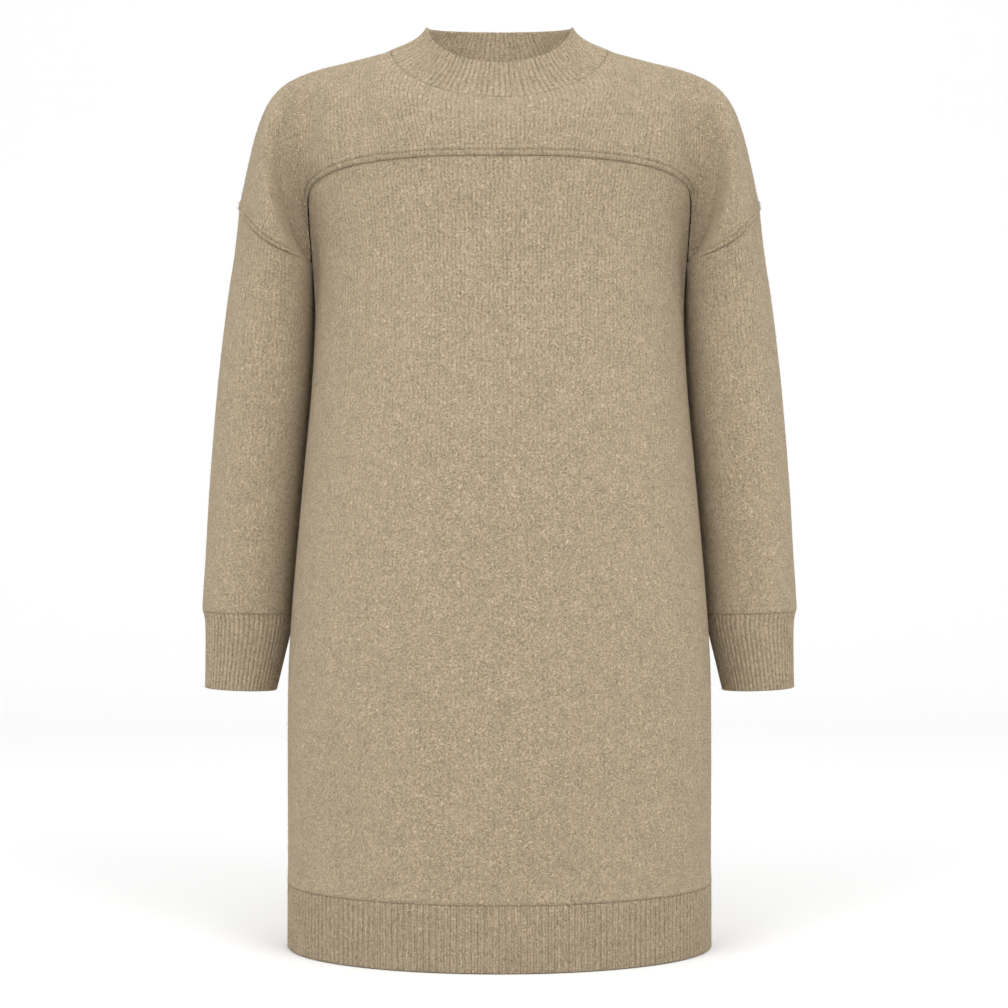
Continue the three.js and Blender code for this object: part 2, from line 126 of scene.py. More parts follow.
SHOULDER_LENGTH = 247
DIP_OUTWARDS = 0.35
SEAM_GAP = 0.3
ARMHOLE_STEP, UNDERARM_STEP = 7, 8
ARMHOLE_JOIN = np.radians(165)
NECK_POWER = {-1: 0.5, 1: 1.0}
HEAD_PITCH = {-1: (0.85, 0.15), 1: (0.7, 0.0)}
NECK_TURN, NECK_REACH, NECK_SHOULDER_SLOPE = np.radians(50), 1.35, 0.26
NECK_SEAM = dict(across=108, front=84, back=70, side_height=6, front_drop=59, back_drop=6)
COLLAR_RIM = dict(across=72.5, front=66, back=58, side_height=29, front_drop=45, back_drop=-6.4)
COLLAR_BASE = dict(lean=0.74, rise=0.66, side_lean=0.2, side_rise=-0.28)
COLLAR_TOP = dict(lean=0.45, rise=0.9)
# In the crease in front of the arm: the steps over which the seam turns down into it, the direction in which
# the yoke leaves it in front, and the part of the armhole over which that direction fades out again.
CREASE_START, CREASE_TURN, CREASE_FADE = 4, (4.2, 6), 0.6
CREASE_WAY = (0.62, 0.45, 0.64)
# A yoke carries on the slope of the body and the sleeve below it, measured over these lengths, and a column
# bulges for its length as its fullness says.
CHEST_STEP, SLEEVE_STEP, YOKE_FULLNESS = 8, 20.0, 1.17
# A fold's middle lies low and its ends are blunt. Folds fade out below the yoke and near the side seams, and
# the panel eases onto its upper edge.
FOLD_SAG, FOLD_BLUNTNESS, FOLD_FADE, FOLD_SIDES = 1.3, 1.5, 30, (76, 90)
PANEL_EASE = 70

FOLDS = {
    -1: np.rec.fromrecords([
        (15, -4, 9, -560, -822, 4.2),
        (35, 5, 10, -600, -822, -4),
        (-30, 6, 12, -610, -822, 3.4),
        (-55, 8, 11, -640, -822, -3.6),
        (58, -3, 9, -660, -822, 3),
        (-36, -8, 14, -120, -330, 2.4),
        (44, 8, 15, -120, -350, 2.6),
    ], names="angle,drift,spread,high,low,rise"),
    1: np.rec.fromrecords([
        (-12, 5, 10, -520, -822, 4.4),
        (10, 6, 10, -600, -822, -3.8),
        (38, -5, 12, -580, -822, 3.8),
        (-42, -4, 11, -640, -822, -3.6),
        (-60, 4, 9, -610, -822, 3),
        (33, 8, 14, -120, -340, 2.6),
        (-38, -7, 13, -120, -320, 2.4),
    ], names="angle,drift,spread,high,low,rise"),
}


def hermite(start, start_slope, end, end_slope, t):
    """The cubic that leaves start and reaches end with the given slopes, for t from 0 to 1."""
    t2, t3 = t * t, t * t * t
    return (start * (2 * t3 - 3 * t2 + 1) + start_slope * (t3 - 2 * t2 + t)
            + end * (3 * t2 - 2 * t3) + end_slope * (t3 - t2))


def read(table, at):
    """Reads every column of a table at the given key values, along a cubic through its rows."""
    key = table[table.dtype.names[0]].astype(float)
    at = np.asarray(at, float)
    low = np.clip(np.searchsorted(key, at) - 1, 0, len(key) - 2)
    high, before, after = low + 1, np.maximum(low - 1, 0), np.minimum(low + 2, len(key) - 1)
    span = key[high] - key[low]
    t = (at - key[low]) / span
    values = {}
    for name in table.dtype.names[1:]:
        column = table[name].astype(float)
        slope_low = (column[high] - column[before]) / (key[high] - key[before]) * span
        slope_high = (column[after] - column[low]) / (key[after] - key[low]) * span
        values[name] = hermite(column[low], slope_low, column[high], slope_high, t)
    return values


def smoothstep(value, low, high):
    """0 below low, 1 above high, and a soft rise between them."""
    t = np.clip((value - low) / (high - low), 0, 1)
    return t * t * (3 - 2 * t)


def stack(x, y, z):
    """Points from their three coordinates, each an array or a number."""
    return np.stack(np.broadcast_arrays(x, y, z), axis=-1).astype(float)


def unit(vectors):
    """Each vector divided by its length."""
    return vectors / np.maximum(np.linalg.norm(vectors, axis=-1, keepdims=True), 1e-12)


print("tables:", len(BODY), "body sections,", len(SLEEVE), "sleeve rings")

# %% [markdown]
# Surfaces worked out from the tables
#
# Each piece is a function of two parameters. The body is a stack of ellipses whose front and back halves
# have their own depth. The sleeve is a stack of tilted rings. A yoke is a set of cubic columns, each
# rising from the chest seam or the armhole to the neck seam or the shoulder line, which it meets level, so
# the front and the back run into one another over the shoulder.


# %% Body, sleeve, neck and yoke as functions
def body_point(angle, height, face):
    """angle is 0 at the centre and 90 at the side; face is -1 in front and 1 behind."""
    section = read(BODY, height)
    depth = section["front"] if face < 0 else section["back"]
    turn = np.radians(angle)
    y = section["side_at"] + face * depth * np.cos(turn)
    return stack(section["half_width"] * np.sin(turn), y, height)


def sleeve_point(along, turn):
    """A ring's ellipse between its outer and its inner point, with its front and back hanging lower."""
    ring = read(SLEEVE, along)
    across, around = np.cos(turn), np.sin(turn)
    hang = ring["dip"] * around ** 2 * (1 + DIP_OUTWARDS * across)
    x = (ring["outer"] + ring["inner"]) / 2 + across * (ring["outer"] - ring["inner"]) / 2
    z = (ring["outer_height"] + ring["inner_height"]) / 2
    z = z + across * (ring["outer_height"] - ring["inner_height"]) / 2 - hang
    return stack(x, ring["middle"] - ring["depth"] * around, z)


def facing(points, face):
    """Mirrors front points of the armhole to the back."""
    middle = SLEEVE.middle[0]
    return points if face < 0 else stack(points[..., 0], 2 * middle - points[..., 1], points[..., 2])


def neck_point(ring, turn):
    """A level-sided ring that drops towards the front; turn 0 is the front, pi the back."""
    ahead = np.cos(turn)
    depth = np.where(ahead > 0, ring["front"], ring["back"])
    drop = np.where(ahead > 0, ring["front_drop"], ring["back_drop"])
    power = np.where(ahead > 0, NECK_POWER[-1], NECK_POWER[1])
    y = -depth * np.sign(ahead) * np.abs(ahead) ** power
    return stack(ring["across"] * np.sin(turn), y, ring["side_height"] - drop * np.abs(ahead))


def seam_point(step, face):
    """The seam between yoke and panel, eased over its last steps onto the armhole's corner."""
    place = read(YOKE_STEPS, np.minimum(step, ARMHOLE_STEP))
    corner = YOKE_STEPS[ARMHOLE_STEP]
    reach = facing(sleeve_point(0.0, ARMHOLE_JOIN), face) - body_point(corner.angle, corner.height, face)
    ease = smoothstep(step, CREASE_START, ARMHOLE_STEP)[..., None]
    return body_point(place["angle"], place["height"], face) + ease * reach


def mirror_by(step, points):
    """Turns the points of negative steps over to the wearer's right."""
    points[..., 0] *= np.where(step < 0, -1, 1)
    return points


def yoke_point(step, part, face):
    """Cubic columns: steps 0 to 7 stand on the chest seam, 7 to 8 on the armhole; part runs up a column."""
    size = np.abs(step)
    on_chest = size <= ARMHOLE_STEP
    place = read(YOKE_STEPS, np.minimum(size, ARMHOLE_STEP))
    arm_part = np.clip(size - ARMHOLE_STEP, 0, 1)
    head_part = place["head"] + arm_part * (2 - place["head"])
    turn = ARMHOLE_JOIN * (1 - arm_part)
    armhole = facing(sleeve_point(0.0, turn), face)
    foot = np.where(on_chest[..., None], seam_point(size, face), armhole)
    chest_way = unit(body_point(place["angle"], place["height"] + CHEST_STEP, face)
                     - body_point(place["angle"], place["height"], face))
    arm_way = unit(armhole - facing(sleeve_point(SLEEVE_STEP, turn), face))
    crease = np.array(CREASE_WAY) * (1, face, 1)
    near_crease = 1 - smoothstep(arm_part, 0, CREASE_FADE)
    to_crease = np.where(on_chest, smoothstep(size, *CREASE_TURN), near_crease)[..., None]
    foot_way = np.where(on_chest[..., None], chest_way, arm_way) * (1 - to_crease) + crease * to_crease
    neck_turn = np.clip(head_part, 0, 1) * np.pi / 2
    on_neck = head_part <= 1
    neck = neck_point(NECK_SEAM, neck_turn if face < 0 else np.pi - neck_turn)
    line = read(SHOULDER, np.clip(head_part - 1, 0, 1) * SHOULDER_LENGTH)
    head = np.where(on_neck[..., None], neck, stack(line["across"], line["back"], line["height"]))
    middle_pitch, side_pitch = HEAD_PITCH[face]
    near_neck = 1 - smoothstep(head_part, 1, NECK_REACH)
    aside = NECK_TURN * np.where(on_neck, smoothstep(head_part, 0, 1), near_neck)
    to_middle = np.abs(np.cos(neck_turn)) ** NECK_POWER[face]
    on_ring = side_pitch * np.cos(aside) + (middle_pitch - side_pitch) * to_middle
    rise = np.where(on_neck, on_ring, side_pitch * near_neck) + NECK_SHOULDER_SLOPE * np.sin(aside)
    head_way = unit(stack(-np.sin(aside), -face * np.cos(aside), rise))
    reach = YOKE_FULLNESS * np.linalg.norm(head - foot, axis=-1, keepdims=True)
    points = hermite(foot, foot_way * reach, head, head_way * reach, part[..., None])
    return mirror_by(step, points)


def panel_top(step, face):
    """The panel's upper edge: the chest seam, then the short rest of the armhole to the underarm."""
    part = np.clip(step - ARMHOLE_STEP, 0, 1)
    turn = ARMHOLE_JOIN + part * (np.pi - ARMHOLE_JOIN)
    armhole = facing(sleeve_point(0.0, turn), face) + (-0.5, 0, -0.3)
    return np.where((step > ARMHOLE_STEP)[..., None], armhole, seam_point(step, face))


def fold_height(angle, height, top, face):
    """How far the soft folds stand out; they die away at the side seams, the yoke and the hem band."""
    total = np.zeros(np.broadcast(angle, height).shape)
    for fold in FOLDS[face]:
        down = np.clip((fold.high - height) / (fold.high - fold.low), 0, 1)
        across = (angle - fold.angle - fold.drift * down) / fold.spread
        length_wise = np.abs(np.sin(np.pi * down ** FOLD_SAG)) ** FOLD_BLUNTNESS
        total += fold.rise * np.exp(-across * across) * length_wise
    return total * smoothstep(top - height, 0, FOLD_FADE) * (1 - smoothstep(np.abs(angle), *FOLD_SIDES))


def panel_point(step, part, face):
    """The body's surface from the hem band (part 0) up to the panel's upper edge (part 1)."""
    size = np.abs(step)
    top = panel_top(size, face)
    height = HEM_TOP + part * (top[..., 2] - HEM_TOP)
    angle = read(YOKE_STEPS, size)["angle"]
    ease = smoothstep(height, top[..., 2] - PANEL_EASE, top[..., 2])[..., None]
    points = body_point(angle, height, face) + ease * (top - body_point(angle, top[..., 2], face))
    fold = fold_height(angle * np.where(step < 0, -1, 1), height, top[..., 2], face)
    turn = np.radians(angle)
    points = points + stack(np.sin(turn), face * np.cos(turn), 0) * fold[..., None]
    return mirror_by(step, points)


def collar_point(turn, part):
    """Cubic columns from the neck seam, leaning inwards, to the rim, where they stand up."""
    base, rim = neck_point(NECK_SEAM, turn), neck_point(COLLAR_RIM, turn)
    side = np.abs(np.sin(turn))
    inwards = unit(base * (-1, -1, 0))
    lean = COLLAR_BASE["lean"] + COLLAR_BASE["side_lean"] * side
    rise = COLLAR_BASE["rise"] + COLLAR_BASE["side_rise"] * side
    base_way = inwards * lean[..., None] + stack(0, 0, rise)
    rim_way = inwards * COLLAR_TOP["lean"] + (0, 0, COLLAR_TOP["rise"])
    reach = np.linalg.norm(rim - base, axis=-1, keepdims=True)
    return hermite(base, base_way * reach, rim, rim_way * reach, part[..., None])


def hem_point(turn, part):
    """The body's sections all round, from the lower edge (part 0) to the panels (part 1)."""
    height = HEM_BOTTOM + part * (HEM_TOP - SEAM_GAP - HEM_BOTTOM)
    section = read(BODY, height)
    depth = np.where(np.cos(turn) > 0, section["front"], section["back"])
    y = section["side_at"] - depth * np.cos(turn)
    return stack(section["half_width"] * np.sin(turn), y, height)


middle_front = body_point(np.array(0.0), np.array(HEM_TOP), -1)
print("front of the hem seam, in millimetres:", middle_front.round(1))

# %% [markdown]
# From a grid of points to cloth
#
# A sheet of cloth is two surfaces, the face and a plain inside, joined along their edges. The face carries
# the relief, such as ribs and seam ridges. The inside needs far fewer faces, so it keeps every few columns
# and rows, and the strip between the two is zipped together. Everything is done on whole arrays.


# %% Grids, normals and walls
WALE_PITCH = 0.0044
FIBRE_WIDTH = 0.07
RANDOM = np.random.default_rng(5)


def normals_of(grid, closed):
    """Outward directions from the differences along both ways of a grid of points."""
    if closed:
        along = np.roll(grid, -1, axis=1) - np.roll(grid, 1, axis=1)
    else:
        along = np.gradient(grid, axis=1)
    normal = np.cross(along, np.gradient(grid, axis=0))
    shrunk = np.linalg.norm(np.diff(grid, axis=0), axis=-1).sum(axis=0) < 1e-3
    for column, beside in ((0, 1), (-1, -2)):
        if shrunk[column]:
            normal[:, column] = normal[-1, beside]
    return unit(normal)


def sheet_faces(count_rows, count_columns, closed, start, flip):
    """Quads of a grid whose points are numbered row by row from start."""
    last = count_columns if closed else count_columns - 1
    row, column = np.meshgrid(np.arange(count_rows - 1), np.arange(last), indexing="ij")
    beside = (column + 1) % count_columns
    quads = np.stack([row * count_columns + column, row * count_columns + beside,
                      (row + 1) * count_columns + beside, (row + 1) * count_columns + column], axis=-1)
    quads = quads.reshape(-1, 4) + start
    return quads[:, ::-1] if flip else quads


def zip_faces(first, second):
    """Triangles between two lines of points that share their ends, in order of how far along they are."""
    first_at, second_at = np.linspace(0, 1, len(first)), np.linspace(0, 1, len(second))
    facing_first = second[np.searchsorted(second_at, first_at[1:] - 1e-9) - 1]
    facing_second = first[np.searchsorted(first_at, second_at[1:] + 1e-9) - 1]
    return np.concatenate([np.stack([first[1:], first[:-1], facing_first], axis=1),
                           np.stack([facing_second, second[:-1], second[1:]], axis=1)])


def flat_lengths(grid, closed, wales):
    """How far each point is across and along the flat cloth, and what a whole turn round a tube adds."""
    ring = np.concatenate([grid, grid[:, :1]], axis=1) if closed else grid
    across = np.append(0, np.cumsum(np.linalg.norm(np.diff(ring, axis=1), axis=-1).mean(axis=0))) * MM
    along = np.append(0, np.cumsum(np.linalg.norm(np.diff(grid, axis=0), axis=-1).mean(axis=1))) * MM
    if closed:
        across *= (wales or round(across[-1] / WALE_PITCH)) * WALE_PITCH / across[-1]
    u, v = np.broadcast_arrays(across[None, :grid.shape[1]], along[:, None])
    return u, v, across[-1] if closed else 0.0


def face_uv(faces, uv, turn):
    """Places on the flat cloth for the corners of faces; those past the last column count one turn more."""
    corners = uv[faces]
    behind = corners[..., 0].max(axis=1, keepdims=True) - corners[..., 0] > turn / 2
    corners[..., 0] += np.where(behind, turn, 0)
    return corners.reshape(-1, 2)


def make_mesh(name, points, face_sets, uv, turn=0.0):
    """One object from points in millimetres, quads and triangles, and a place on the flat cloth for each."""
    loops = np.concatenate([faces.ravel() for faces in face_sets])
    sizes = np.concatenate([np.full(len(faces), faces.shape[1]) for faces in face_sets])
    mesh = bpy.data.meshes.new(name)
    mesh.vertices.add(len(points))
    mesh.vertices.foreach_set("co", (points * MM).ravel())
    mesh.loops.add(len(loops))
    mesh.loops.foreach_set("vertex_index", loops)
    mesh.polygons.add(len(sizes))
    mesh.polygons.foreach_set("loop_start", np.concatenate([[0], np.cumsum(sizes)[:-1]]))
    mesh.polygons.foreach_set("loop_total", sizes)
    mesh.update(calc_edges=True)
    layer = mesh.uv_layers.new(name="cloth")
    layer.uv.foreach_set("vector", np.concatenate([face_uv(faces, uv, turn) for faces in face_sets]).ravel())
    work = bmesh.new()
    work.from_mesh(mesh)
    bmesh.ops.remove_doubles(work, verts=work.verts, dist=1e-7)
    work.to_mesh(mesh)
    work.free()
    mesh.polygons.foreach_set("use_smooth", np.ones(len(mesh.polygons), bool))
    piece = bpy.data.objects.new(name, mesh)
    scene.collection.objects.link(piece)
    return piece


def fibres(outer, normal, u, v, count, reach):
    """Loose ends of yarn: short curved slivers of five points that stand up from the face and lean over."""
    row, column = RANDOM.random((2, count))
    row = (row * (outer.shape[0] - 1.01)).astype(int)
    column = (column * (outer.shape[1] - 1.01)).astype(int)
    root, up = outer[row, column], normal[row, column]
    beside, below = outer[row, column + 1] - root, outer[row + 1, column] - root
    root = root + beside * RANDOM.random((count, 1)) + below * RANDOM.random((count, 1))
    way = RANDOM.random(count) * 2 * np.pi
    lean = unit(unit(beside) * np.cos(way)[:, None] + unit(below) * np.sin(way)[:, None])
    height = reach * RANDOM.gamma(2.2, 0.45, count)[:, None]
    length = height * RANDOM.uniform(0.5, 2.2, (count, 1))
    middle = root + up * height * 0.7 + lean * length * 0.4
    tip = root + up * height + lean * length
    side = unit(np.cross(up + lean, lean)) * FIBRE_WIDTH
    sunk = root - up * 0.2
    points = np.stack([sunk - side, sunk + side, middle + side, middle - side, tip], axis=1)
    start = 5 * np.arange(count)[:, None]
    flat = np.stack([u[row, column], v[row, column]], axis=-1)
    return points.reshape(-1, 3), start + (0, 1, 2, 3), start + (3, 2, 4), np.repeat(flat, 5, axis=0)


def cloth(name, grid, lift, thickness, closed=False, keep=(4, 4), fuzz=0, reach=1.0, wales=None):
    """A wall of cloth on rows x columns of face points; keep says which rows and columns the inside has."""
    normal = normals_of(grid, closed)
    u, v, turn = flat_lengths(grid, closed, wales)
    outer = grid + normal * np.broadcast_to(lift, grid.shape[:2])[..., None]
    inner = grid - normal * np.broadcast_to(thickness, grid.shape[:2])[..., None]
    rows = np.unique(np.append(np.arange(0, grid.shape[0], keep[0]), grid.shape[0] - 1))
    columns = np.arange(0, grid.shape[1], keep[1])
    if not closed:
        columns = np.unique(np.append(columns, grid.shape[1] - 1))
    inner = inner[rows][:, columns]
    start = grid.shape[0] * grid.shape[1]
    outside = np.arange(start).reshape(grid.shape[:2])
    inside = start + np.arange(inner.shape[0] * inner.shape[1]).reshape(inner.shape[:2])
    edges = [(outside[0], inside[0]), (inside[-1], outside[-1])]
    if closed:
        edges = [(np.append(a, a[0]), np.append(b, b[0])) for a, b in edges]
    else:
        edges += [(inside[:, 0], outside[:, 0]), (outside[:, -1], inside[:, -1])]
    hairs, quads, tips, hair_flat = fibres(outer, normal, u, v, fuzz, reach)
    first_hair = start + inner.shape[0] * inner.shape[1]
    faces = [sheet_faces(*grid.shape[:2], closed, 0, False),
             sheet_faces(*inner.shape[:2], closed, start, True),
             np.concatenate([zip_faces(first, second) for first, second in edges]),
             quads + first_hair, tips + first_hair]
    points = np.concatenate([outer.reshape(-1, 3), inner.reshape(-1, 3), hairs])
    flat = np.stack([np.concatenate([way.ravel(), way[rows][:, columns].ravel()]) for way in (u, v)], axis=-1)
    piece = make_mesh(name, points, faces, np.concatenate([flat, hair_flat]), turn)
    print(f"{name}: {sum(len(polygon.vertices) - 2 for polygon in piece.data.polygons)} triangles")
    return piece


# %% [markdown]
# Relief of the knitting
#
# Rib knitting stands up in rounded wales with a groove between each two. A free edge rolls inwards. The
# chest seam and the armholes are finished with two raised cords of knitting side by side. All of these are
# real height on the face, because they catch the light and show on the outline.


# %% Heights of ribs, rolled edges and seam cords
RIB_HEIGHT, RIB_MEAN = 0.24, 0.6
RIB_BLUNTNESS, RIB_SWELL, SWELL_LENGTH = 0.6, 0.35, 7
EDGE_ROLL, ROLL_DEPTH = 2.0, 0.6
CORD_ROWS = ((2.7, 2.7, 2.0), (7.9, 2.6, 1.7))
CORD_END = (5.0, 5.8)
STITCH_LENGTH, STITCH_RISE, CORD_BLUNTNESS = 4.4, 0.24, 0.8
OVERHANG, OVERHANG_LENGTH = 0.6, 15


def rib_height(turn, ribs, pitch, from_seam):
    """A rounded wale for each rib, RIB_HEIGHT of its pitch high, which swells from the seam on."""
    swell = RIB_SWELL + (1 - RIB_SWELL) * smoothstep(from_seam, 0, SWELL_LENGTH)
    return RIB_HEIGHT * pitch * swell * (np.abs(np.sin(ribs * turn / 2)) ** RIB_BLUNTNESS - RIB_MEAN)


def rolled(distance):
    """How far a face sinks within EDGE_ROLL of its free edge, as a quarter circle does."""
    inside = np.clip(1 - distance / EDGE_ROLL, 0, 1)
    return ROLL_DEPTH * EDGE_ROLL * (1 - np.sqrt(1 - inside ** 2))


def cord_height(distance, along):
    """Two rounded cords side by side, each with the small bumps of its stitches."""
    height = np.zeros_like(distance)
    for middle, half_width, rise in CORD_ROWS:
        across = np.clip(np.abs(distance - middle) / half_width, 0, 1)
        stitch = 1 + STITCH_RISE * np.sin(2 * np.pi * (along + distance) / STITCH_LENGTH + middle)
        height = np.maximum(height, rise * stitch * (1 - across ** 2) ** CORD_BLUNTNESS)
    return height


def overhang(distance):
    """The soft bulge with which brushed cloth covers the top of a ribbed band that draws it in."""
    return OVERHANG * (1 - smoothstep(distance, 0, OVERHANG_LENGTH))


def lengths_along(grid, axis):
    """Distance from the first row or column of a grid, for every point."""
    steps = np.linalg.norm(np.diff(grid, axis=axis), axis=-1)
    first = [(1, 0), (0, 0)] if axis == 0 else [(0, 0), (1, 0)]
    return np.cumsum(np.pad(steps, first), axis=axis)


# %% [markdown]
# The two panels
#
# The front and the back run straight from the chest seam to the hem band. They hang from the bust and
# shoulders, so the depth of the body grows slowly downwards and a few soft folds form near the hem.

# %% Make the panels
CLOTH = 2.2
PANEL_COLUMNS, PANEL_ROWS = 200, 230
PANEL_FUZZ = 22000
MIDDLE_SECTION = (200.0, 140.0)
PANEL_SPAN = (-0.0022, 0.9997)
SIDE_SEAM_STEP = 7.7


def even_steps(count):
    """Steps of the seam table that stand at even distances round a middle section of the body."""
    step = np.linspace(0, UNDERARM_STEP, 400)
    turn = np.radians(read(YOKE_STEPS, step)["angle"])
    place = np.stack([MIDDLE_SECTION[0] * np.sin(turn), MIDDLE_SECTION[1] * np.cos(turn)], axis=-1)
    length = np.append(0, np.cumsum(np.linalg.norm(np.diff(place, axis=0), axis=-1)))
    half = np.interp(np.linspace(0, length[-1], count // 2 + 1), length, step)
    return np.concatenate([-half[:0:-1], half])


def across_for(face, steps):
    """Columns run from the wearer's right to left in front, and the other way behind, to face outwards."""
    return steps if face < 0 else steps[::-1]


def make_panel(name, face):
    """A panel's grid, with half a seam gap left at the side seams and its bulge over the hem band."""
    steps = across_for(face, even_steps(PANEL_COLUMNS))
    step, part = np.meshgrid(steps, np.linspace(*PANEL_SPAN, PANEL_ROWS + 1))
    grid = panel_point(step, part, face)
    grid[..., 1] += face * SEAM_GAP / 2 * smoothstep(np.abs(step), SIDE_SEAM_STEP, UNDERARM_STEP)
    return cloth(name, grid, overhang(grid[..., 2] - HEM_TOP), CLOTH, keep=(6, 4), fuzz=PANEL_FUZZ)


front = make_panel("front_panel_knit", -1)
back = make_panel("back_panel_knit", 1)

# %% [markdown]
# The two yokes
#
# A yoke's columns rise from its lower edge, so the distance up a column says where the two seam cords lie.
# The cords fade out where the seam dips into the fold in front of the arm.

# %% Make the yokes
YOKE_SPLITS = (24, 24, 16, 16, 16, 12, 12, 64)
EDGE_ROWS, YOKE_ROWS, YOKE_FUZZ = np.linspace(0, 11, 26), 60, 9000
SHORT_COLUMN = 55.0
CREASE_GAP, GAP_RISE, GAP_END = 1.0, (4.5, 5.5), (7, 7.1)
SHOULDER_RISE = (2, 2.3)
CORNER_SPREAD, CORD_COLUMNS = 0.3, (12, 40)


def yoke_steps():
    """Steps of the seam table, split as YOKE_SPLITS says between each two, on both sides of the middle."""
    half = np.concatenate([[0.0], *[k + np.arange(1, n + 1) / n for k, n in enumerate(YOKE_SPLITS)]])
    return np.concatenate([-half[:0:-1], half])


def yoke_parts(length):
    """Rows close together over the seam cords, then even rows up to the neck or shoulder."""
    edge = EDGE_ROWS[:, None] / np.maximum(length, SHORT_COLUMN)
    body = np.linspace(0, 1, YOKE_ROWS)[1:, None]
    return np.concatenate([edge, edge[-1] + (1 - edge[-1]) * body]) * 0.998 + 0.001


def make_yoke(name, face):
    """A yoke's grid, kept clear of the panel in the crease, with the two cords along its lower edge."""
    steps = across_for(face, yoke_steps())
    foot = yoke_point(steps, np.zeros_like(steps), face)
    head = yoke_point(steps, np.ones_like(steps), face)
    part = yoke_parts(np.linalg.norm(head - foot, axis=-1))
    step = np.broadcast_to(steps, part.shape)
    grid = yoke_point(step, part, face)
    size = np.abs(step)
    in_crease = smoothstep(size, *GAP_RISE) * (1 - smoothstep(size, *GAP_END)) * (1 - part)
    grid[..., 0] += np.sign(step) * CREASE_GAP * in_crease
    grid[..., 1] += face * SEAM_GAP / 2 * part * smoothstep(size, *SHOULDER_RISE)
    distance, around = lengths_along(grid, 0), lengths_along(grid, 1)
    fade = 1 - np.exp(-((size - ARMHOLE_STEP) / CORNER_SPREAD) ** 2)
    on_seam = np.where(size < ARMHOLE_STEP, 1 - smoothstep(size, *CORD_END), 1)
    fade = fade * on_seam * smoothstep(distance[-1], *CORD_COLUMNS)
    return cloth(name, grid, cord_height(distance, around) * fade, CLOTH, keep=(6, 3), fuzz=YOKE_FUZZ)


front_yoke = make_yoke("front_yoke_knit", -1)
back_yoke = make_yoke("back_yoke_knit", 1)

# %% [markdown]
# Sleeves and cuffs
#
# A sleeve is a tube of rings, and its cuff carries on from the last of them, drawn in by its ribs.

# %% Make the sleeves and the cuffs
SLEEVE_COLUMNS, SLEEVE_ROWS, SLEEVE_FUZZ = 160, 160, 10000
CUFF_RIBS, CUFF_ROWS, RIB_COLUMNS, CUFF_FUZZ = 56, 40, 8, 1500
SLEEVE_START, CUFF_OVERLAP, ROLL_ROWS, RIB_REACH = 0.5, 1.2, 8, 0.7
CUFF_PITCH = 4.6
RIB_CLOTH = 2.6


def arm_grid(hand, columns, along):
    """Rings of one arm; the two arms' columns turn opposite ways, so that both face outwards."""
    turn = np.linspace(0, 2 * np.pi, columns, endpoint=False) * hand
    turn, along = np.meshgrid(turn, along)
    points = sleeve_point(along, turn)
    points[..., 0] *= hand
    return turn, along, points


def make_sleeve(name, hand):
    """A sleeve's tube, from the armhole to just past the cuff's seam."""
    rows = np.linspace(SLEEVE_START, CUFF_TOP + CUFF_OVERLAP, SLEEVE_ROWS)
    turn, along, grid = arm_grid(hand, SLEEVE_COLUMNS, rows)
    lift = overhang(CUFF_TOP - along)
    return cloth(name, grid, lift, CLOTH, closed=True, keep=(5, 4), fuzz=SLEEVE_FUZZ)


def make_cuff(name, hand):
    """A cuff's tube, with eight close rows over its rolled edge."""
    roll_top = CUFF_BOTTOM - EDGE_ROLL
    rows = np.append(np.linspace(CUFF_TOP + SEAM_GAP / 2, roll_top, CUFF_ROWS - ROLL_ROWS),
                     np.linspace(roll_top, CUFF_BOTTOM, ROLL_ROWS + 1)[1:])
    turn, along, grid = arm_grid(hand, CUFF_RIBS * RIB_COLUMNS, rows)
    lift = rib_height(turn, CUFF_RIBS, CUFF_PITCH, along - CUFF_TOP) - rolled(CUFF_BOTTOM - along)
    return cloth(name, grid, lift, RIB_CLOTH, closed=True, keep=(4, 4), fuzz=CUFF_FUZZ,
                 reach=RIB_REACH, wales=CUFF_RIBS)


sleeves = [make_sleeve("sleeve_left_knit", 1), make_sleeve("sleeve_right_knit", -1)]
cuffs = [make_cuff("cuff_left_ribs", 1), make_cuff("cuff_right_ribs", -1)]

# %% [markdown]
# Hem band and collar
#
# Both are ribbed rings. The collar leans in from the wide neck seam and then stands up, and because one
# looks down into it at the back of the neck, its ribs are on its inside too.

# %% Make the hem band and the collar
HEM_RIBS, HEM_ROWS, HEM_FUZZ, HEM_PITCH = 200, 24, 5000, 5.9
COLLAR_RIBS, COLLAR_ROWS, COLLAR_FUZZ = 104, 24, 3000
COLLAR_PITCH, COLLAR_HEIGHT = 4.4, 42
RING_START = 0.003


def ring_parts(rows, length):
    """Even rows, with close ones over the rolled edge at the far end."""
    close = EDGE_ROLL / length
    return np.append(np.linspace(RING_START, 1 - close, rows - ROLL_ROWS),
                     np.linspace(1 - close, 1, ROLL_ROWS + 1)[1:])


def make_hem(name):
    """The hem band's tube, ribbed from its seam down and rolled at its lower edge."""
    turn = np.linspace(0, 2 * np.pi, HEM_RIBS * RIB_COLUMNS, endpoint=False)
    height = HEM_TOP - HEM_BOTTOM
    turn, part = np.meshgrid(turn, 1 - ring_parts(HEM_ROWS, height)[::-1])
    grid = hem_point(turn, part)
    lift = rib_height(turn, HEM_RIBS, HEM_PITCH, (1 - part) * height) - rolled(part * height)
    return cloth(name, grid, lift, RIB_CLOTH, closed=True, keep=(4, 4), fuzz=HEM_FUZZ,
                 reach=RIB_REACH, wales=2 * HEM_RIBS)


